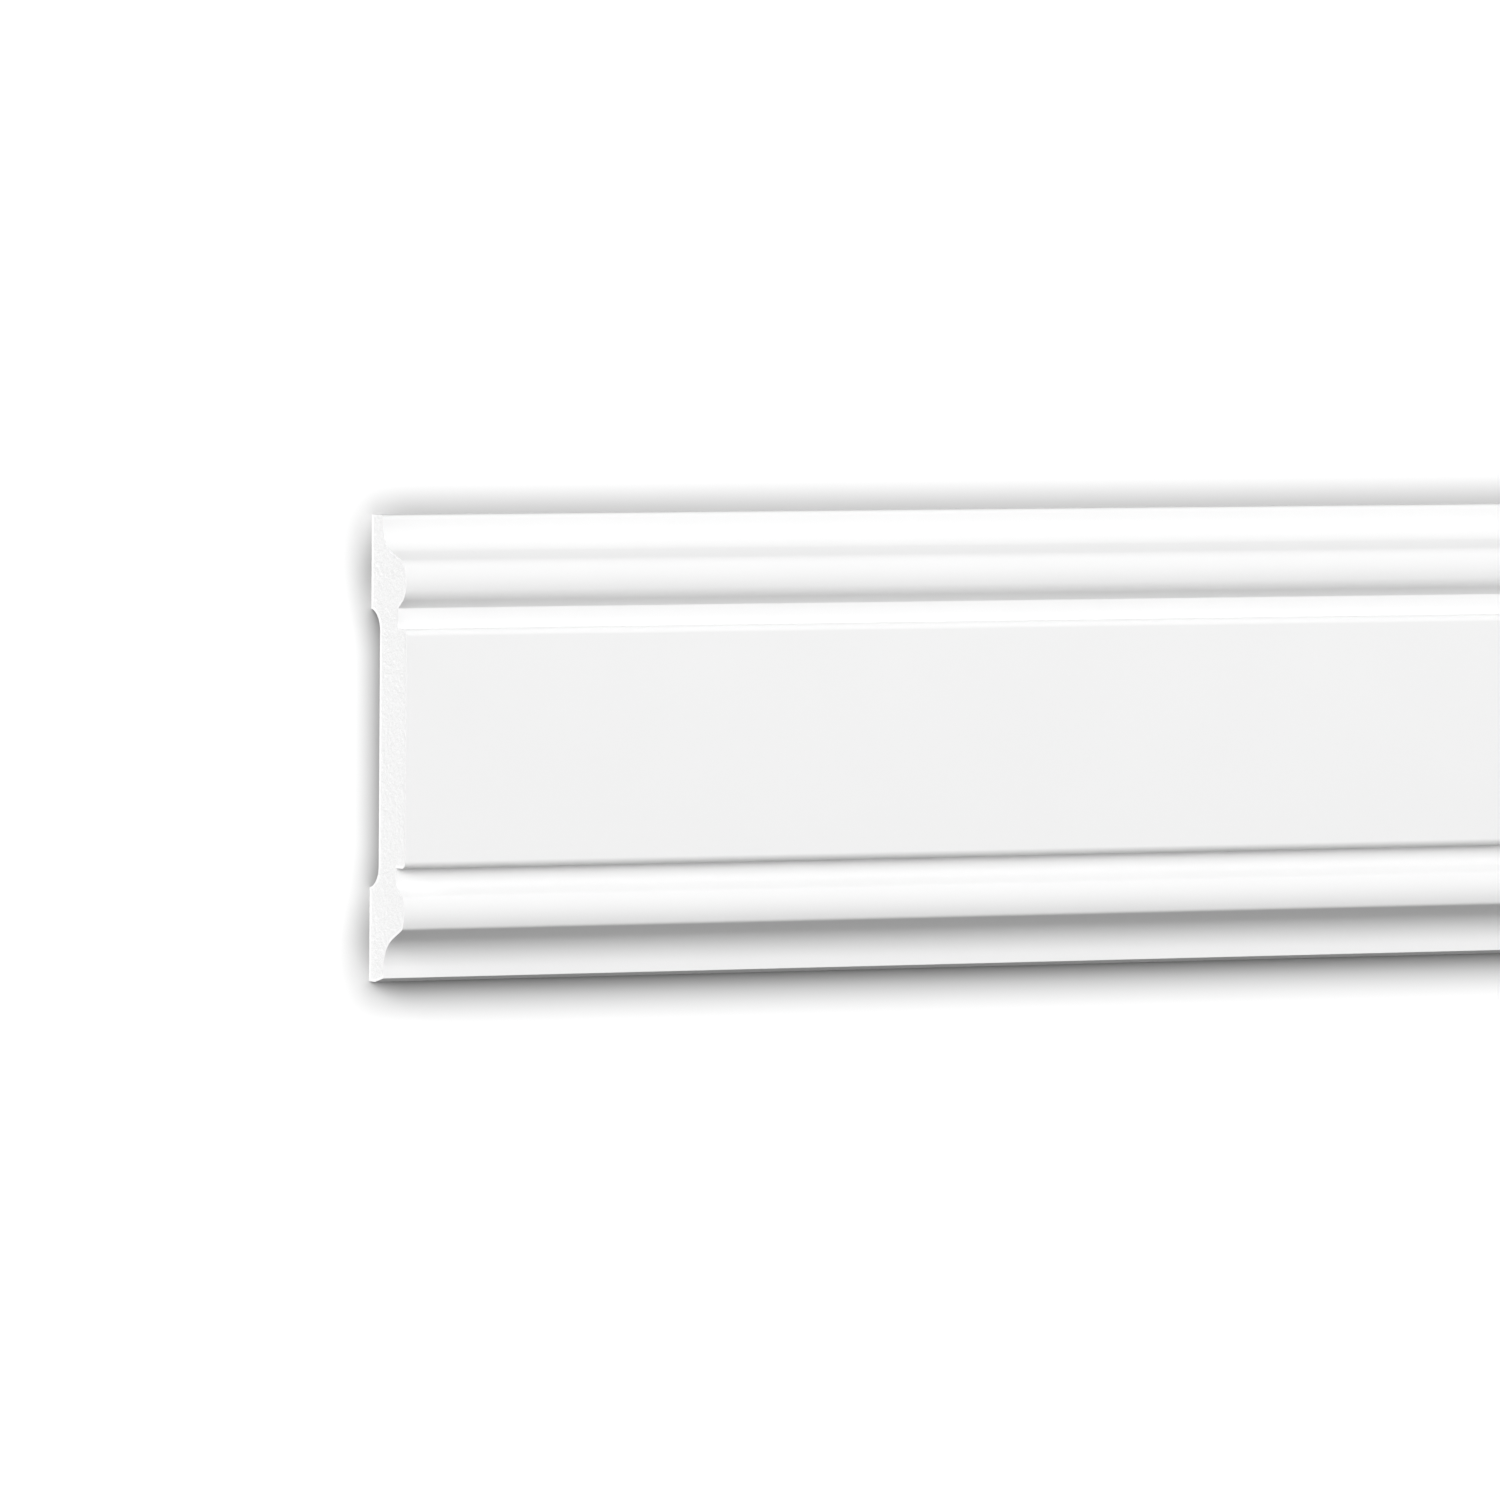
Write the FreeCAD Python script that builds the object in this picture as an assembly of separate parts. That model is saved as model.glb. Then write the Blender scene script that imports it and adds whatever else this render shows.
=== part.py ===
import FreeCAD, Part
import math
import os

# Dado rail: one moulded length of rigid foam, sawn square at both ends and lying on its back.
# X runs along it, +Y is the edge that is uppermost on a wall, and +Z is the face.
# The origin is the middle of its footprint, on the plane of the back. Sizes are millimetres and degrees.

# Stock
LENGTH = 2000.0
HEIGHT = 140.0
THICKNESS = 22.0

# Each moulding, from the outer edge inwards: lip, cove, flank, bead, fillet, and the step up to the field
BEAD_DROP = 0.5
CROWN_RADIUS = 12.0
STEP_EDGE_RADIUS = 2.2

# Upper moulding, with its outer corner rounded
UPPER_LIP_THICKNESS = 7.0
UPPER_EDGE_RADIUS = 1.5
UPPER_LIP = 1.4
UPPER_COVE_RADIUS = 8.6
UPPER_FLANK_ANGLE = 70.0
UPPER_ARRIS_RADIUS = 5.0
UPPER_SHOULDER_ANGLE = 21.0
UPPER_INNER_SHOULDER_ANGLE = 10.0
UPPER_INNER_ARRIS_RADIUS = 5.5
UPPER_INNER_FLANK_ANGLE = 52.0
UPPER_FOOT_RADIUS = 0.6
UPPER_FILLET = 5.9
UPPER_FILLET_DROP = 5.3
UPPER_ROOT_RADIUS = 0.8

# Lower moulding, with its outer corner chamfered
LOWER_LIP_THICKNESS = 8.8
LOWER_CHAMFER_WIDTH = 1.3
LOWER_CHAMFER_DEPTH = 5.0
LOWER_LIP = 2.9
LOWER_COVE_RADIUS = 10.2
LOWER_FLANK_ANGLE = 63.0
LOWER_ARRIS_RADIUS = 1.8
LOWER_SHOULDER_ANGLE = 21.5
LOWER_INNER_SHOULDER_ANGLE = 22.0
LOWER_INNER_ARRIS_RADIUS = 1.4
LOWER_INNER_FLANK_ANGLE = 55.0
LOWER_FOOT_RADIUS = 3.5
LOWER_FILLET = 3.8
LOWER_FILLET_DROP = 5.5
LOWER_ROOT_RADIUS = 0.15

# Back: two glue bands with a recess between them
BAND_WIDTH = 28.2
RECESS_DEPTH = 5.5
RECESS_RADIUS = 6.5

# Headings of the pen: along the section from an edge inwards, and straight out from the back
INWARDS = 0.0
OUTWARDS = 90.0


def from_upper_edge(inset, level):
    """Point of the sawn end that lies inset below the upper edge and level out from the back."""
    return FreeCAD.Vector(-LENGTH / 2, HEIGHT / 2 - inset, level)


def from_lower_edge(inset, level):
    """Point of the sawn end that lies inset above the lower edge and level out from the back."""
    return FreeCAD.Vector(-LENGTH / 2, inset - HEIGHT / 2, level)


def cosine(angle):
    """Cosine of an angle in degrees."""
    return math.cos(math.radians(angle))


def sine(angle):
    """Sine of an angle in degrees."""
    return math.sin(math.radians(angle))


class Outline:
    """A pen that starts at the back of one edge and draws lines and tangent arcs across the section."""

    def __init__(self, place, heading):
        self.place = place
        self.inset = 0.0
        self.level = 0.0
        self.heading = heading
        self.edges = []

    def here(self):
        """Where the pen is."""
        return self.place(self.inset, self.level)

    def step(self, inset, level):
        """Move the pen without drawing, and return where it comes to."""
        self.inset += inset
        self.level += level
        return self.here()

    def go(self, length):
        """Draw a straight stretch along the heading."""
        start = self.here()
        end = self.step(length * cosine(self.heading), length * sine(self.heading))
        self.edges.append(Part.LineSegment(start, end).toShape())

    def turn(self, heading):
        """Take a new heading at a sharp corner."""
        self.heading = heading

    def bend(self, radius, heading):
        """Draw the arc that leaves along the heading and ends along a new one."""
        start = self.here()
        middle = self.bend_half(radius, (self.heading + heading) / 2)
        end = self.bend_half(radius, heading)
        self.edges.append(Part.Arc(start, middle, end).toShape())

    def bend_half(self, radius, heading):
        """Move along an arc to a new heading without drawing."""
        side = math.copysign(radius, heading - self.heading)
        inset = side * (sine(heading) - sine(self.heading))
        level = side * (cosine(self.heading) - cosine(heading))
        self.heading = heading
        return self.step(inset, level)


def draw_moulding(outline, lip, cove_radius, flank_angle, arris_radius, shoulder_angle,
                  inner_shoulder_angle, inner_arris_radius, inner_flank_angle, foot_radius,
                  fillet, fillet_drop, root_radius):
    """Carry an outline on from the front corner of its lip to the start of the field."""
    bead_rise = THICKNESS - BEAD_DROP - outline.level
    cove_rise = cove_radius * (1 - cosine(flank_angle))
    arris_rise = arris_radius * (cosine(shoulder_angle) - cosine(flank_angle))
    crown_rise = CROWN_RADIUS * (1 - cosine(shoulder_angle))
    flank_rise = bead_rise - cove_rise - arris_rise - crown_rise

    crown_fall = CROWN_RADIUS * (1 - cosine(inner_shoulder_angle))
    arris_fall = inner_arris_radius * (cosine(inner_shoulder_angle) - cosine(inner_flank_angle))
    foot_fall = foot_radius * (1 - cosine(inner_flank_angle))
    inner_flank_fall = fillet_drop - BEAD_DROP - crown_fall - arris_fall - foot_fall

    outline.go(lip)
    outline.bend(cove_radius, flank_angle)
    outline.go(flank_rise / sine(flank_angle))
    outline.bend(arris_radius, shoulder_angle)
    outline.bend(CROWN_RADIUS, -inner_shoulder_angle)
    outline.bend(inner_arris_radius, -inner_flank_angle)
    outline.go(inner_flank_fall / sine(inner_flank_angle))
    outline.bend(foot_radius, INWARDS)
    outline.go(fillet - root_radius)
    outline.bend(root_radius, OUTWARDS)
    outline.go(fillet_drop - root_radius - STEP_EDGE_RADIUS)
    outline.bend(STEP_EDGE_RADIUS, INWARDS)


def upper_outline():
    """The upper moulding, from the back of its rounded outer corner to the start of the field."""
    outline = Outline(from_upper_edge, OUTWARDS)
    outline.go(UPPER_LIP_THICKNESS - UPPER_EDGE_RADIUS)
    outline.bend(UPPER_EDGE_RADIUS, INWARDS)
    draw_moulding(outline, UPPER_LIP, UPPER_COVE_RADIUS, UPPER_FLANK_ANGLE, UPPER_ARRIS_RADIUS,
                  UPPER_SHOULDER_ANGLE, UPPER_INNER_SHOULDER_ANGLE, UPPER_INNER_ARRIS_RADIUS,
                  UPPER_INNER_FLANK_ANGLE, UPPER_FOOT_RADIUS, UPPER_FILLET, UPPER_FILLET_DROP, UPPER_ROOT_RADIUS)
    return outline


def lower_outline():
    """The lower moulding, from the back of its chamfered outer corner to the start of the field."""
    outline = Outline(from_lower_edge, OUTWARDS)
    outline.go(LOWER_LIP_THICKNESS - LOWER_CHAMFER_DEPTH)
    outline.turn(math.degrees(math.atan2(LOWER_CHAMFER_DEPTH, LOWER_CHAMFER_WIDTH)))
    outline.go(math.hypot(LOWER_CHAMFER_DEPTH, LOWER_CHAMFER_WIDTH))
    outline.turn(INWARDS)
    draw_moulding(outline, LOWER_LIP, LOWER_COVE_RADIUS, LOWER_FLANK_ANGLE, LOWER_ARRIS_RADIUS,
                  LOWER_SHOULDER_ANGLE, LOWER_INNER_SHOULDER_ANGLE, LOWER_INNER_ARRIS_RADIUS,
                  LOWER_INNER_FLANK_ANGLE, LOWER_FOOT_RADIUS, LOWER_FILLET, LOWER_FILLET_DROP, LOWER_ROOT_RADIUS)
    return outline


def back_outline(place):
    """One glue band and the rounded corner of the recess beside it."""
    outline = Outline(place, INWARDS)
    outline.go(BAND_WIDTH)
    outline.turn(math.degrees(math.acos(1 - RECESS_DEPTH / RECESS_RADIUS)))
    outline.bend(RECESS_RADIUS, INWARDS)
    return outline


def join(one, other):
    """The straight edge between the ends of two outlines."""
    return Part.LineSegment(one.here(), other.here()).toShape()


def make_rail():
    """The section drawn on the sawn end and run along the length."""
    upper = upper_outline()
    lower = lower_outline()
    upper_back = back_outline(from_upper_edge)
    lower_back = back_outline(from_lower_edge)
    edges = upper.edges + lower.edges + upper_back.edges + lower_back.edges
    edges.append(join(upper, lower))
    edges.append(join(upper_back, lower_back))
    section = Part.Face(Part.Wire(Part.__sortEdges__(edges)))
    return section.extrude(FreeCAD.Vector(LENGTH, 0, 0))


os.makedirs("parts", exist_ok=True)
rail = make_rail()
rail.exportStep("parts/dado_rail.step")
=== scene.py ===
import math

import bmesh
import bpy
from bpy.props import FloatProperty, FloatVectorProperty, IntProperty, PointerProperty
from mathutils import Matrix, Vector


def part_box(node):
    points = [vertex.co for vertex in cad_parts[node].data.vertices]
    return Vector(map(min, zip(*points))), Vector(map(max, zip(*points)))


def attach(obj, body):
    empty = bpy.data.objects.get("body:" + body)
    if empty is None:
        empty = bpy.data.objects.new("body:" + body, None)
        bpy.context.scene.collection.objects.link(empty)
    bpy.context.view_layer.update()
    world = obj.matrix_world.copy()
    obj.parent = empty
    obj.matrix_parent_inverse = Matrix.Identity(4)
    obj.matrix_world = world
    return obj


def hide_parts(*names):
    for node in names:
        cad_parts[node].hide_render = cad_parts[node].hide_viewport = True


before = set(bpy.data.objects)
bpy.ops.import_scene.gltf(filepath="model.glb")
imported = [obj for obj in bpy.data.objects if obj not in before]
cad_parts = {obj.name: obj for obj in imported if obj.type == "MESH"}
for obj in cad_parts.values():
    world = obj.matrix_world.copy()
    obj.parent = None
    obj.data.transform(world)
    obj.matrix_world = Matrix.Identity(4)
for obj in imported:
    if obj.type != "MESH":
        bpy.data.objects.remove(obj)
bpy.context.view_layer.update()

bl_info = {
    "name": "Dado Rail",
    "version": (1, 0, 0),
    "blender": (4, 5, 0),
    "location": "View3D > Sidebar > Dado Rail",
    "description": "Models a length of primed foam dado rail with sawn ends, and a pale stage for it",
    "category": "Add Mesh",
}

MM = 0.001
RAIL_LOW, RAIL_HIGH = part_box("dado_rail")

# The rail lies on its back: X runs along it, +Y is its upper edge on a wall and +Z is its face
ALONG = Vector((1, 0, 0))
ACROSS = Vector((0, 1, 0))
UP = Vector((0, 0, 1))
UPPER = 1
LOWER = -1

# Headings of the section pen: from an edge inwards, and straight out from the back
INWARDS = 0.0
OUTWARDS = math.radians(90)

# Limits of the modelling: the plane that a piece starts from, points taken as one, normals taken as
# along the rail, and edges that stay crisp
SEED_SIZE = 0.1 * MM
MERGE_DISTANCE = 0.001 * MM
FACING = 0.9
CRISP_ANGLE = math.radians(25)

# Material slots of the rail, after the primed face
FOAM_SLOT = 1
SKIN_SLOT = 2

# Camera
SENSOR_WIDTH = 36
CLIP_END = 100

# Soft lamps: name, degrees towards the near end, degrees towards the upper edge, strength
LAMPS = (
    ("side_lamp", 75, 20, 0.81),
    ("key_lamp", 35, 20, 0.63),
    ("front_lamp", 0, 17, 0.315),
    ("fill_lamp", 0, -40, 0.115),
    ("back_lamp", -90, 0, 0.3),
)


def linear(hex_colour):
    """The linear RGBA of an sRGB hex colour."""
    channels = [int(hex_colour[i:i + 2], 16) / 255 for i in (1, 3, 5)]
    return [c / 12.92 if c <= 0.04045 else ((c + 0.055) / 1.055) ** 2.4 for c in channels] + [1.0]


def size(name, millimetres, description):
    """A length property whose default is given in millimetres."""
    return FloatProperty(name=name, description=description, default=millimetres * MM, min=0,
                         precision=5, subtype="DISTANCE", unit="LENGTH")


def slope(name, degrees, description):
    """An angle property whose default is given in degrees."""
    return FloatProperty(name=name, description=description, default=math.radians(degrees), min=0,
                         subtype="ANGLE", unit="ROTATION")


def colour(name, hex_colour, description):
    """A colour property whose default is an sRGB hex value."""
    return FloatVectorProperty(name=name, description=description, default=linear(hex_colour), size=4,
                               min=0, max=1, subtype="COLOR")


class RailSizes(bpy.types.PropertyGroup):
    """The rail's section, given as the widths and levels of its members, and its sawn ends"""

    bead_drop: size("Bead drop", 0.5, "How far the beads lie below the field")
    crown_radius: size("Crown radius", 12.0, "Rounding of the beads' crowns")
    step_edge_radius: size("Step edge radius", 2.2, "Rounding of the field's edges")
    upper_lip_thickness: size("Upper lip thickness", 7.0, "Level of the upper lip above the back")
    upper_edge_radius: size("Upper edge radius", 1.5, "Rounding of the upper lip's front corner")
    upper_lip: size("Upper lip", 1.4, "Flat width of the upper lip")
    upper_cove_radius: size("Upper cove radius", 8.6, "Hollow of the upper cove")
    upper_flank: slope("Upper flank", 70.0, "Slope of the upper bead's flank towards the edge")
    upper_arris_radius: size("Upper arris radius", 5.0,
                             "Rounding between the upper bead's flank and crown")
    upper_shoulder: slope("Upper shoulder", 21.0,
                          "Slope at which the upper crown ends towards the edge")
    upper_inner_shoulder: slope("Upper inner shoulder", 10.0,
                                "Slope at which the upper crown ends towards the field")
    upper_inner_arris_radius: size("Upper inner arris", 5.5,
                                   "Rounding of the upper bead towards the field")
    upper_inner_flank: slope("Upper inner flank", 52.0,
                             "Slope of the upper bead's flank towards the field")
    upper_foot_radius: size("Upper foot radius", 0.6,
                            "Hollow where the upper bead meets its fillet")
    upper_fillet: size("Upper fillet", 5.9, "Width of the fillet between upper bead and field")
    upper_fillet_drop: size("Upper fillet drop", 5.3,
                            "How far the upper fillet lies below the field")
    upper_root_radius: size("Upper root radius", 0.8,
                            "Hollow where the upper fillet meets the step")
    lower_lip_thickness: size("Lower lip thickness", 8.8, "Level of the lower lip above the back")
    lower_chamfer_width: size("Lower chamfer width", 1.3,
                              "Width of the lower lip's chamfer, up the face")
    lower_chamfer_depth: size("Lower chamfer depth", 5.0,
                              "Depth of the lower lip's chamfer, towards the back")
    lower_lip: size("Lower lip", 2.9, "Flat width of the lower lip")
    lower_cove_radius: size("Lower cove radius", 10.2, "Hollow of the lower cove")
    lower_flank: slope("Lower flank", 63.0, "Slope of the lower bead's flank towards the edge")
    lower_arris_radius: size("Lower arris radius", 1.8,
                             "Rounding between the lower bead's flank and crown")
    lower_shoulder: slope("Lower shoulder", 21.5,
                          "Slope at which the lower crown ends towards the edge")
    lower_inner_shoulder: slope("Lower inner shoulder", 22.0,
                                "Slope at which the lower crown ends towards the field")
    lower_inner_arris_radius: size("Lower inner arris", 1.4,
                                   "Rounding of the lower bead towards the field")
    lower_inner_flank: slope("Lower inner flank", 55.0,
                             "Slope of the lower bead's flank towards the field")
    lower_foot_radius: size("Lower foot radius", 3.5,
                            "Hollow where the lower bead meets its fillet")
    lower_fillet: size("Lower fillet", 3.8, "Width of the fillet between lower bead and field")
    lower_fillet_drop: size("Lower fillet drop", 5.5,
                            "How far the lower fillet lies below the field")
    lower_root_radius: size("Lower root radius", 0.15,
                            "Hollow where the lower fillet meets the step")
    band_width: size("Glue band width", 28.2, "Width of each flat band on the back")
    recess_depth: size("Recess depth", 5.5, "Depth of the recess between the glue bands")
    recess_radius: size("Recess radius", 6.5, "Rounding of the recess's corners")
    arc_facet: slope("Arc facet", 5.0, "Turn of each facet of a round stretch")
    bay_count: IntProperty(name="Bays", description="Stretches that the length is divided into",
                           default=40, min=1)
    saw_grid: size("Saw grid", 0.45, "Mesh spacing of the sawn ends")
    skin_depth: size("Skin depth", 0.8,
                     "Thickness of the dense skin as it shows on the sawn ends")
    pore_size: size("Pore size", 0.9, "Width of the open cells on the sawn ends")
    pore_depth: size("Pore depth", 0.22, "Depth of the open cells on the sawn ends")


class RailColours(bpy.types.PropertyGroup):
    """The rail's finishes and the stage's colours"""

    primer: colour("Primer", "#E8E8E8", "White factory primer on the moulded skin")
    primer_thin: colour("Thin primer", "#E6E6E6", "Primer where it lies thinner over the foam")
    # Partly painted highlight: the sawn skin is lighter than the foam, standing in for light caught along
    # the sawn edge as well as the dense skin
    skin: colour("Sawn skin", "#ECECEC", "Dense skin as it shows around a sawn end")
    foam: colour("Sawn foam", "#E7E7E7", "Walls of the cells on a sawn end")
    # Painted shade in the depths of the sawn foam's open cells
    painted_pore_shade: colour("Foam pore", "#DDDDDD", "Depths of the open cells on a sawn end")
    floor: colour("Floor", "#F3F3F3", "Pale studio floor")
    # Painted shade: these three colours darken the floor's own colour where the rail closes it in, near
    # the glue bands and under the whole rail
    painted_enclosed_shade: colour("Enclosed floor", "#E6E6E6", "Shade of the floor where the rail closes it in")
    painted_contact_shade: colour("Contact shade", "#696969",
                    "Shade of the floor under the glue bands, fading beside them")
    painted_halo_shade: colour("Halo", "#C8C8C8", "Shade of the floor under the whole rail, fading around it")
    bounce: colour("Floor bounce", "#8C8C8C", "Floor as it lights the rail from below")


class RailStage(bpy.types.PropertyGroup):
    """The camera, the light and the floor's painted shades"""

    camera_place: FloatVectorProperty(
        name="Camera place", description="Where the camera stands",
        default=(-3.4119, 0.2182, 4.4092), subtype="TRANSLATION", unit="LENGTH")
    camera_turn: FloatVectorProperty(
        name="Camera turn", description="Tilt, swing and roll from looking straight down",
        default=[math.radians(a) for a in (-2.4845, -29.9758, 0.3989)], subtype="EULER", unit="ROTATION")
    lens: FloatProperty(
        name="Lens", description="Focal length in millimetres", default=402.77, min=1,
        subtype="DISTANCE_CAMERA")
    lamp_spread: slope("Lamp spread", 40.0, "Width of each lamp as seen from the rail")
    floor_width: FloatProperty(
        name="Floor width", description="Side of the square floor", default=60.0, min=1,
        subtype="DISTANCE", unit="LENGTH")
    floor_glow: FloatProperty(
        name="Floor glow", description="Light that the floor adds to look white", default=0.138,
        min=0, max=1, subtype="FACTOR")
    # How far the floor's painted shades reach, blur and lie aside
    enclosed_reach: size("Enclosed reach", 14.0, "How far off the rail still closes the floor in")
    contact_blur: size("Contact blur", 14.8, "How far the shade of the glue bands fades beside them")
    halo_blur: size("Halo blur", 20.0, "How far the shade of the whole rail fades around it")
    shade_shift: size("Shade shift", 1.5, "How far the shades lie to the lower left of the rail")


def select_where(rail, chosen):
    """Select the faces of the mesh in edit mode that a test picks, and nothing else."""
    bpy.ops.mesh.select_mode(type="FACE")
    bpy.ops.mesh.select_all(action="DESELECT")
    mesh = bmesh.from_edit_mesh(rail.data)
    for face in mesh.faces:
        if chosen(face):
            face.select_set(True)
    mesh.select_flush_mode()
    bmesh.update_edit_mesh(rail.data)


def faces_along(face):
    """True for a face of a sawn end."""
    return abs(face.normal.dot(ALONG)) > FACING


class SectionPen:
    """Starts at the back of one edge and draws lines and tangent arcs of the section in edit mode."""

    def __init__(self, side, facet, heading):
        self.side = side
        self.facet = facet
        self.heading = heading
        self.inset = 0.0
        self.level = 0.0
        bpy.ops.mesh.select_all(action="DESELECT")
        bpy.ops.mesh.primitive_plane_add(size=SEED_SIZE, location=self.here())
        bpy.ops.mesh.merge(type="CENTER")

    def here(self):
        """The point of the near end that lies inset from the rail's edge and level above its back."""
        half = (RAIL_HIGH.y - RAIL_LOW.y) / 2
        middle = (RAIL_HIGH.y + RAIL_LOW.y) / 2
        return Vector((RAIL_LOW.x, middle + self.side * (half - self.inset), RAIL_LOW.z + self.level))

    def go(self, length):
        """Extrude a straight stretch along the heading."""
        start = self.here()
        self.inset += length * math.cos(self.heading)
        self.level += length * math.sin(self.heading)
        bpy.ops.mesh.extrude_vertices_move(TRANSFORM_OT_translate={"value": self.here() - start})

    def turn(self, heading):
        """Take a new heading at a sharp corner."""
        self.heading = heading

    def bend(self, radius, heading):
        """Spin the arc that leaves along the heading and ends along a new one."""
        swing = heading - self.heading
        reach = math.copysign(radius, swing)
        start = self.here()
        self.inset -= reach * math.sin(self.heading)
        self.level += reach * math.cos(self.heading)
        centre = self.here()
        self.inset += reach * math.sin(heading)
        self.level -= reach * math.cos(heading)
        self.heading = heading
        steps = max(2, math.ceil(abs(swing) / self.facet))
        bpy.ops.mesh.spin(steps=steps, angle=self.side * swing, center=centre, axis=ALONG)


def draw_moulding(sizes, pen, lip, cove_radius, flank, arris_radius, shoulder, inner_shoulder,
                  inner_arris_radius, inner_flank, foot_radius, fillet, fillet_drop, root_radius):
    """Carry the pen on from the front corner of a lip to the middle of the field."""
    bead_rise = RAIL_HIGH.z - RAIL_LOW.z - sizes.bead_drop - pen.level
    cove_rise = cove_radius * (1 - math.cos(flank))
    arris_rise = arris_radius * (math.cos(shoulder) - math.cos(flank))
    crown_rise = sizes.crown_radius * (1 - math.cos(shoulder))
    flank_rise = bead_rise - cove_rise - arris_rise - crown_rise

    crown_fall = sizes.crown_radius * (1 - math.cos(inner_shoulder))
    arris_fall = inner_arris_radius * (math.cos(inner_shoulder) - math.cos(inner_flank))
    foot_fall = foot_radius * (1 - math.cos(inner_flank))
    flank_fall = fillet_drop - sizes.bead_drop - crown_fall - arris_fall - foot_fall

    pen.go(lip)
    pen.bend(cove_radius, flank)
    pen.go(flank_rise / math.sin(flank))
    pen.bend(arris_radius, shoulder)
    pen.bend(sizes.crown_radius, -inner_shoulder)
    pen.bend(inner_arris_radius, -inner_flank)
    pen.go(flank_fall / math.sin(inner_flank))
    pen.bend(foot_radius, INWARDS)
    pen.go(fillet - root_radius)
    pen.bend(root_radius, OUTWARDS)
    pen.go(fillet_drop - root_radius - sizes.step_edge_radius)
    pen.bend(sizes.step_edge_radius, INWARDS)
    pen.go((RAIL_HIGH.y - RAIL_LOW.y) / 2 - pen.inset)


def draw_upper_face(sizes):
    """Draw the upper half of the face, from the back of its rounded outer corner."""
    pen = SectionPen(UPPER, sizes.arc_facet, OUTWARDS)
    pen.go(sizes.upper_lip_thickness - sizes.upper_edge_radius)
    pen.bend(sizes.upper_edge_radius, INWARDS)
    draw_moulding(sizes, pen, sizes.upper_lip, sizes.upper_cove_radius, sizes.upper_flank,
                  sizes.upper_arris_radius, sizes.upper_shoulder, sizes.upper_inner_shoulder,
                  sizes.upper_inner_arris_radius, sizes.upper_inner_flank, sizes.upper_foot_radius,
                  sizes.upper_fillet, sizes.upper_fillet_drop, sizes.upper_root_radius)


def draw_lower_face(sizes):
    """Draw the lower half of the face, from the back of its chamfered outer corner."""
    pen = SectionPen(LOWER, sizes.arc_facet, OUTWARDS)
    pen.go(sizes.lower_lip_thickness - sizes.lower_chamfer_depth)
    pen.turn(math.atan2(sizes.lower_chamfer_depth, sizes.lower_chamfer_width))
    pen.go(math.hypot(sizes.lower_chamfer_depth, sizes.lower_chamfer_width))
    pen.turn(INWARDS)
    draw_moulding(sizes, pen, sizes.lower_lip, sizes.lower_cove_radius, sizes.lower_flank,
                  sizes.lower_arris_radius, sizes.lower_shoulder, sizes.lower_inner_shoulder,
                  sizes.lower_inner_arris_radius, sizes.lower_inner_flank, sizes.lower_foot_radius,
                  sizes.lower_fillet, sizes.lower_fillet_drop, sizes.lower_root_radius)


def draw_back(sizes, side):
    """Draw one glue band and its half of the recess."""
    pen = SectionPen(side, sizes.arc_facet, INWARDS)
    pen.go(sizes.band_width)
    pen.turn(math.acos(1 - sizes.recess_depth / sizes.recess_radius))
    pen.bend(sizes.recess_radius, INWARDS)
    pen.go((RAIL_HIGH.y - RAIL_LOW.y) / 2 - pen.inset)


def cut_across(positions, axis):
    """Bisect what shows in edit mode at each position along an axis."""
    for position in positions:
        bpy.ops.mesh.select_all(action="SELECT")
        bpy.ops.mesh.bisect(plane_co=axis * position, plane_no=axis)


def spaced(low, high, pitch):
    """Positions between two limits, evenly spaced at about a pitch, without the limits."""
    count = max(1, round((high - low) / pitch))
    return [low + (high - low) * i / count for i in range(1, count)]


def node(tree, kind, inputs=None, **settings):
    """Add a node with its settings, and feed its inputs with values or other nodes' outputs."""
    added = tree.nodes.new(kind)
    for name, value in settings.items():
        setattr(added, name, value)
    for name, value in (inputs or {}).items():
        if isinstance(value, bpy.types.NodeSocket):
            tree.links.new(value, added.inputs[name])
        else:
            added.inputs[name].default_value = value
    return added


def empty_material(name):
    """A material with no nodes yet."""
    material = bpy.data.materials.new(name)
    material.use_nodes = True
    material.node_tree.nodes.clear()
    return material


def primed_polyurethane(colours):
    """Factory-primed moulded polyurethane: matt white, with the faint orange peel of sprayed primer."""
    material = empty_material("primed_polyurethane")
    tree = material.node_tree
    place = node(tree, "ShaderNodeTexCoord").outputs["Object"]
    # The peel waves over 1.6 mm, and the coat's thickness drifts over 35 mm
    peel = node(tree, "ShaderNodeTexNoise", {"Vector": place, "Scale": 1 / (1.6 * MM), "Detail": 2.0})
    cloud = node(tree, "ShaderNodeTexNoise", {"Vector": place, "Scale": 1 / (35 * MM), "Detail": 3.0})
    tone = node(tree, "ShaderNodeMix", {
        "Factor": cloud.outputs["Fac"], "A": colours.primer, "B": colours.primer_thin}, data_type="RGBA")
    relief = node(tree, "ShaderNodeBump", {"Height": peel.outputs["Fac"], "Distance": 0.012 * MM})
    shader = node(tree, "ShaderNodeBsdfPrincipled", {
        "Base Color": tone.outputs["Result"], "Roughness": 0.8, "IOR": 1.49, "Specular IOR Level": 0.3,
        "Normal": relief.outputs["Normal"]})
    node(tree, "ShaderNodeOutputMaterial", {"Surface": shader.outputs["BSDF"]})
    return material


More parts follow.
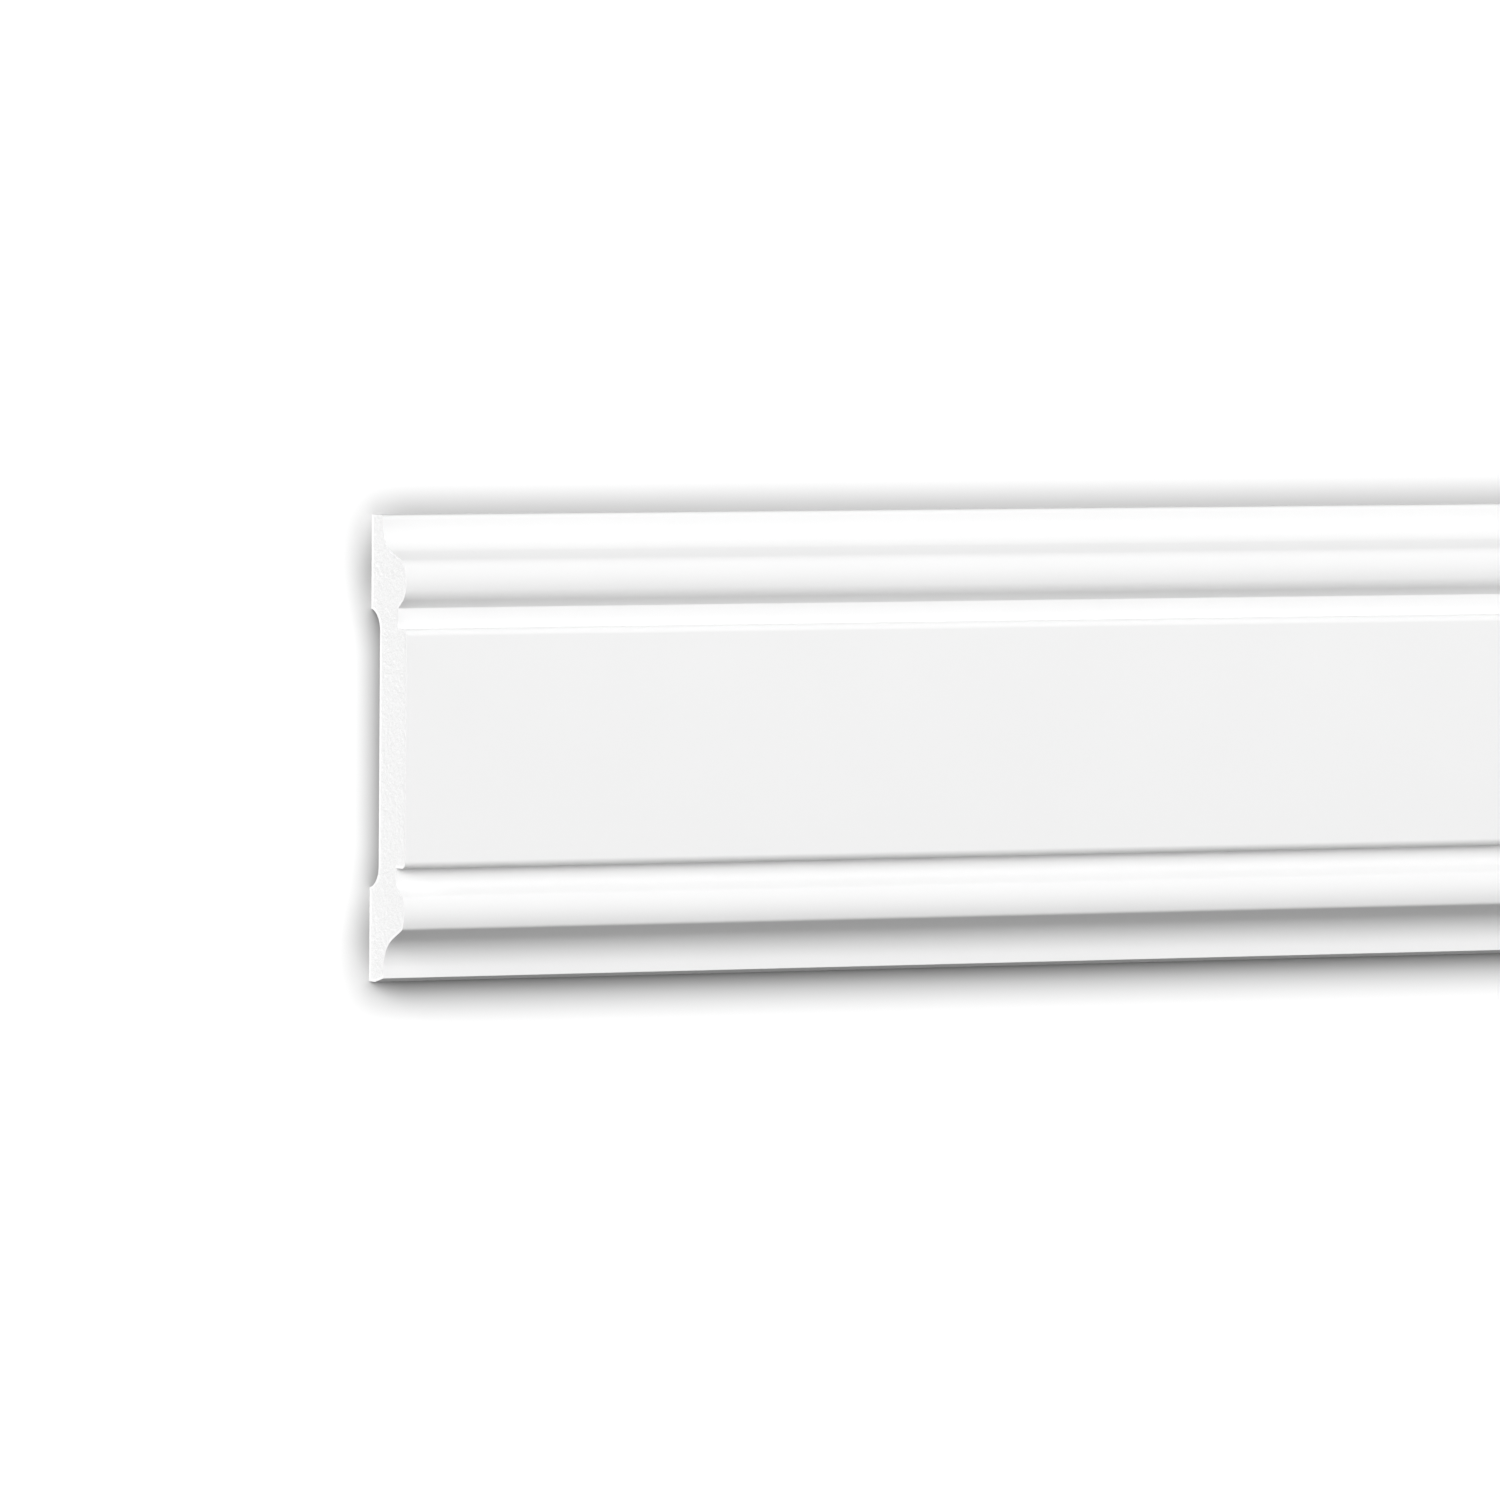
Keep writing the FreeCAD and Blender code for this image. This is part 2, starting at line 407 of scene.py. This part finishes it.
def sawn_foam(colours):
    """Rigid foam cut by a fine saw: dull, with painted shade that makes the depths of its open cells a
    shade darker than their walls.
    """
    material = empty_material("sawn_polyurethane_foam")
    tree = material.node_tree
    place = node(tree, "ShaderNodeTexCoord").outputs["Object"]
    # The real cells are about 0.2 mm wide and too fine to show, so they are drawn at 0.55 mm
    cells = node(tree, "ShaderNodeTexVoronoi", {"Vector": place, "Scale": 1 / (0.55 * MM)})
    # Painted shade: the colour darkens towards each cell's middle, where its pit lies
    tone = node(tree, "ShaderNodeMix", {
        "Factor": cells.outputs["Distance"], "A": colours.painted_pore_shade, "B": colours.foam},
        data_type="RGBA")
    relief = node(tree, "ShaderNodeBump", {"Height": cells.outputs["Distance"], "Distance": 0.08 * MM})
    shader = node(tree, "ShaderNodeBsdfPrincipled", {
        "Base Color": tone.outputs["Result"], "Roughness": 0.95, "IOR": 1.45,
        "Normal": relief.outputs["Normal"]})
    node(tree, "ShaderNodeOutputMaterial", {"Surface": shader.outputs["BSDF"]})
    return material


def sawn_skin(colours):
    """Dense skin cut by a saw: hardly any cells, so it is a brighter rim broken by torn flecks, its
    brightness partly painted highlight along the sawn edge.
    """
    material = empty_material("sawn_polyurethane_skin")
    tree = material.node_tree
    place = node(tree, "ShaderNodeTexCoord").outputs["Object"]
    # The saw tears flecks of about 1.8 mm
    flecks = node(tree, "ShaderNodeTexNoise", {"Vector": place, "Scale": 1 / (1.8 * MM), "Detail": 2.0})
    torn = node(tree, "ShaderNodeMapRange", {
        "Value": flecks.outputs["Fac"], "From Min": 0.42, "From Max": 0.58})
    # Partly painted highlight: the rim's lighter colour stands in for light caught along the sawn edge,
    # broken by real torn flecks of foam
    tone = node(tree, "ShaderNodeMix", {
        "Factor": torn.outputs["Result"], "A": colours.foam, "B": colours.skin}, data_type="RGBA")
    shader = node(tree, "ShaderNodeBsdfPrincipled", {
        "Base Color": tone.outputs["Result"], "Roughness": 0.85, "IOR": 1.49})
    node(tree, "ShaderNodeOutputMaterial", {"Surface": shader.outputs["BSDF"]})
    return material


def start_section(sizes):
    """Start the rail in edit mode, with its section drawn and closed at the near end."""
    bpy.ops.object.select_all(action="DESELECT")
    bpy.ops.mesh.primitive_plane_add(size=SEED_SIZE)
    rail = bpy.context.object
    rail.name = "rail_moulding"
    rail.data.name = "rail_moulding"
    bpy.ops.object.mode_set(mode="EDIT")
    bpy.ops.mesh.select_all(action="SELECT")
    bpy.ops.mesh.delete(type="VERT")
    bpy.ops.mesh.select_mode(type="VERT")
    draw_upper_face(sizes)
    draw_lower_face(sizes)
    draw_back(sizes, UPPER)
    draw_back(sizes, LOWER)
    bpy.ops.mesh.select_all(action="SELECT")
    bpy.ops.mesh.remove_doubles(threshold=MERGE_DISTANCE)
    bpy.ops.mesh.select_all(action="SELECT")
    bpy.ops.mesh.edge_face_add()
    return rail


def run_along(rail, sizes):
    """Extrude the section to the far end, turn its faces outwards and divide the length into bays."""
    length = RAIL_HIGH.x - RAIL_LOW.x
    bpy.ops.mesh.extrude_region_move(TRANSFORM_OT_translate={"value": ALONG * length})
    bpy.ops.mesh.select_all(action="SELECT")
    bpy.ops.mesh.normals_make_consistent(inside=False)
    mesh = bmesh.from_edit_mesh(rail.data)
    if sum(1 for face in mesh.faces if faces_along(face)) != 2:
        raise RuntimeError("the section did not close into a rail with two sawn ends")
    cut_across(spaced(RAIL_LOW.x, RAIL_HIGH.x, length / sizes.bay_count), ALONG)


def saw_ends(rail, sizes):
    """Give each sawn end a rim of dense skin and a finely divided core of foam."""
    select_where(rail, faces_along)
    rail.active_material_index = SKIN_SLOT
    bpy.ops.object.material_slot_assign()
    bpy.ops.mesh.inset(thickness=sizes.skin_depth)
    rail.active_material_index = FOAM_SLOT
    bpy.ops.object.material_slot_assign()
    select_where(rail, faces_along)
    bpy.ops.mesh.hide(unselected=True)
    cut_across(spaced(RAIL_LOW.y, RAIL_HIGH.y, sizes.saw_grid), ACROSS)
    cut_across(spaced(RAIL_LOW.z, RAIL_HIGH.z, sizes.saw_grid), UP)
    bpy.ops.mesh.reveal(select=False)


def open_pores(rail, sizes):
    """Sink the foam of the sawn ends into pits, drawn wider than real cells so that they show."""
    select_where(rail, lambda face: face.material_index == FOAM_SLOT)
    sawn = rail.vertex_groups.new(name="sawn_foam")
    bpy.ops.object.vertex_group_assign()
    bpy.ops.object.mode_set(mode="OBJECT")
    cells = bpy.data.textures.new("foam_cells", "VORONOI")
    cells.noise_scale = sizes.pore_size
    pits = rail.modifiers.new("foam_pits", "DISPLACE")
    pits.texture = cells
    pits.texture_coords = "LOCAL"
    pits.direction = "NORMAL"
    pits.mid_level = 0
    pits.strength = -sizes.pore_depth
    pits.vertex_group = sawn.name
    bpy.ops.object.modifier_apply(modifier=pits.name)


class RAIL_OT_mould(bpy.types.Operator):
    """Draw the section, run it along the length and finish its face and sawn ends"""

    bl_idname = "dado_rail.mould"
    bl_label = "Mould Rail"

    def execute(self, context):
        sizes = context.scene.rail_sizes
        rail = start_section(sizes)
        run_along(rail, sizes)
        for finish in (primed_polyurethane, sawn_foam, sawn_skin):
            rail.data.materials.append(finish(context.scene.rail_colours))
        saw_ends(rail, sizes)
        open_pores(rail, sizes)
        bpy.ops.object.shade_smooth_by_angle(angle=CRISP_ANGLE)

        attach(rail, "root")
        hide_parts("dado_rail")
        return {"FINISHED"}


def seen_directly(tree):
    """An output that is 1 for what the camera sees, itself or in gloss or glass, and 0 for other light."""
    path = node(tree, "ShaderNodeLightPath")
    seen = path.outputs["Is Camera Ray"]
    for ray in ("Is Glossy Ray", "Is Transmission Ray"):
        either = node(tree, "ShaderNodeMath", {0: seen, 1: path.outputs[ray]}, operation="MAXIMUM")
        seen = either.outputs[0]
    return seen


def blurred_boxes(tree, middle, half_length, half_width, shift, blur):
    """An output that is 1 on a long box of the floor and on its mirror image, and fades at their edges."""
    place = node(tree, "ShaderNodeTexCoord").outputs["Object"]
    steps = (("ADD", (shift, shift, 0)), ("ABSOLUTE", (0, 0, 0)),
             ("SUBTRACT", (0, middle, 0)), ("ABSOLUTE", (0, 0, 0)))
    for operation, value in steps:
        moved = node(tree, "ShaderNodeVectorMath", {0: place, 1: value}, operation=operation)
        place = moved.outputs["Vector"]
    offsets = node(tree, "ShaderNodeSeparateXYZ", {"Vector": place}).outputs
    along, across = [
        node(tree, "ShaderNodeMapRange", {
            "Value": offset, "From Min": half + blur, "From Max": half - blur},
            interpolation_type="SMOOTHSTEP").outputs["Result"]
        for offset, half in ((offsets["X"], half_length), (offsets["Y"], half_width))]
    return node(tree, "ShaderNodeMath", {0: along, 1: across}, operation="MULTIPLY").outputs[0]


def studio_floor(sizes, colours, stage):
    """Matt white paper: white to the camera, with painted shade beside and under the rail on top of the
    lamps' own shadow, and throwing little light back up.
    """
    material = empty_material("matt_white_paper")
    tree = material.node_tree
    half_length = (RAIL_HIGH.x - RAIL_LOW.x) / 2
    half_height = (RAIL_HIGH.y - RAIL_LOW.y) / 2
    half_band = sizes.band_width / 2
    # Painted shade on the floor: its colour is darkened by how closely the rail closes it in, by nearness
    # to the glue bands and by nearness to the whole rail
    openness = node(tree, "ShaderNodeAmbientOcclusion", {"Distance": stage.enclosed_reach})
    closeness = node(tree, "ShaderNodeMath", {0: 1.0, 1: openness.outputs["AO"]}, operation="SUBTRACT")
    by_bands = blurred_boxes(tree, half_height - half_band, half_length, half_band,
                             stage.shade_shift, stage.contact_blur)
    by_rail = blurred_boxes(tree, 0, half_length, half_height, stage.shade_shift, stage.halo_blur)
    shades = ((closeness.outputs[0], colours.painted_enclosed_shade),
              (by_bands, colours.painted_contact_shade), (by_rail, colours.painted_halo_shade))
    tone = colours.floor
    for factor, shade in shades:
        shaded = node(tree, "ShaderNodeMix", {"Factor": factor, "A": tone, "B": shade},
                      data_type="RGBA", blend_type="MULTIPLY")
        tone = shaded.outputs["Result"]
    lit = node(tree, "ShaderNodeBsdfDiffuse", {"Color": tone})
    glow = node(tree, "ShaderNodeEmission", {"Color": tone, "Strength": stage.floor_glow})
    white = node(tree, "ShaderNodeAddShader", {0: lit.outputs["BSDF"], 1: glow.outputs["Emission"]})
    dull = node(tree, "ShaderNodeBsdfDiffuse", {"Color": colours.bounce})
    mixed = node(tree, "ShaderNodeMixShader", {
        0: seen_directly(tree), 1: dull.outputs["BSDF"], 2: white.outputs["Shader"]})
    node(tree, "ShaderNodeOutputMaterial", {"Surface": mixed.outputs["Shader"]})
    return material


def studio_world():
    """White to the camera beyond the floor, and no light of its own."""
    world = bpy.data.worlds.new("studio")
    world.use_nodes = True
    tree = world.node_tree
    tree.nodes.clear()
    white = node(tree, "ShaderNodeBackground", {
        "Color": linear("#FFFFFF"), "Strength": seen_directly(tree)})
    node(tree, "ShaderNodeOutputWorld", {"Surface": white.outputs["Background"]})
    return world


def add_lamp(name, aside, upwards, strength, spread):
    """Add a soft sun that leans from above the face: aside to -X, then upwards to +Y, in degrees."""
    data = bpy.data.lights.new(name, "SUN")
    data.energy = strength * math.pi
    data.angle = spread
    lamp = bpy.data.objects.new(name, data)
    bpy.context.scene.collection.objects.link(lamp)
    lamp.rotation_mode = "ZXY"
    lamp.rotation_euler = (-math.radians(upwards), -math.radians(aside), 0)


class RAIL_OT_stage(bpy.types.Operator):
    """Lay the pale floor and set the soft light and the camera"""

    bl_idname = "dado_rail.stage"
    bl_label = "Set Stage"

    def execute(self, context):
        scene = context.scene
        stage = scene.rail_stage
        bpy.ops.object.select_all(action="DESELECT")
        bpy.ops.mesh.primitive_plane_add(size=stage.floor_width, location=(0, 0, RAIL_LOW.z))
        floor = context.object
        floor.name = "studio_floor"
        bpy.ops.object.transform_apply(location=True, rotation=False, scale=False)
        floor.data.materials.append(studio_floor(scene.rail_sizes, scene.rail_colours, stage))

        scene.world = studio_world()
        for name, aside, upwards, strength in LAMPS:
            add_lamp(name, aside, upwards, strength, stage.lamp_spread)

        lens = bpy.data.cameras.new("camera")
        lens.lens = stage.lens
        lens.sensor_width = SENSOR_WIDTH
        lens.clip_end = CLIP_END
        camera = bpy.data.objects.new("camera", lens)
        scene.collection.objects.link(camera)
        camera.location = stage.camera_place
        camera.rotation_mode = "ZXY"
        camera.rotation_euler = stage.camera_turn
        scene.camera = camera
        scene.view_settings.view_transform = "Standard"
        return {"FINISHED"}


class RAIL_PT_sidebar(bpy.types.Panel):
    """The rail's sizes, colours and steps"""

    bl_idname = "RAIL_PT_sidebar"
    bl_label = "Dado Rail"
    bl_space_type = "VIEW_3D"
    bl_region_type = "UI"
    bl_category = "Dado Rail"

    def draw(self, context):
        layout = self.layout
        for group in (context.scene.rail_sizes, context.scene.rail_colours, context.scene.rail_stage):
            for name in group.bl_rna.properties.keys():
                if name not in ("rna_type", "name"):
                    layout.prop(group, name)
        layout.operator(RAIL_OT_mould.bl_idname)
        layout.operator(RAIL_OT_stage.bl_idname)


CLASSES = (RailSizes, RailColours, RailStage, RAIL_OT_mould, RAIL_OT_stage, RAIL_PT_sidebar)


def register():
    for each in CLASSES:
        bpy.utils.register_class(each)
    bpy.types.Scene.rail_sizes = PointerProperty(type=RailSizes)
    bpy.types.Scene.rail_colours = PointerProperty(type=RailColours)
    bpy.types.Scene.rail_stage = PointerProperty(type=RailStage)


def unregister():
    del bpy.types.Scene.rail_stage
    del bpy.types.Scene.rail_colours
    del bpy.types.Scene.rail_sizes
    for each in reversed(CLASSES):
        bpy.utils.unregister_class(each)


def main():
    """Register the add-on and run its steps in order."""
    register()
    bpy.ops.dado_rail.mould()
    bpy.ops.dado_rail.stage()


if __name__ == "__main__":
    main()
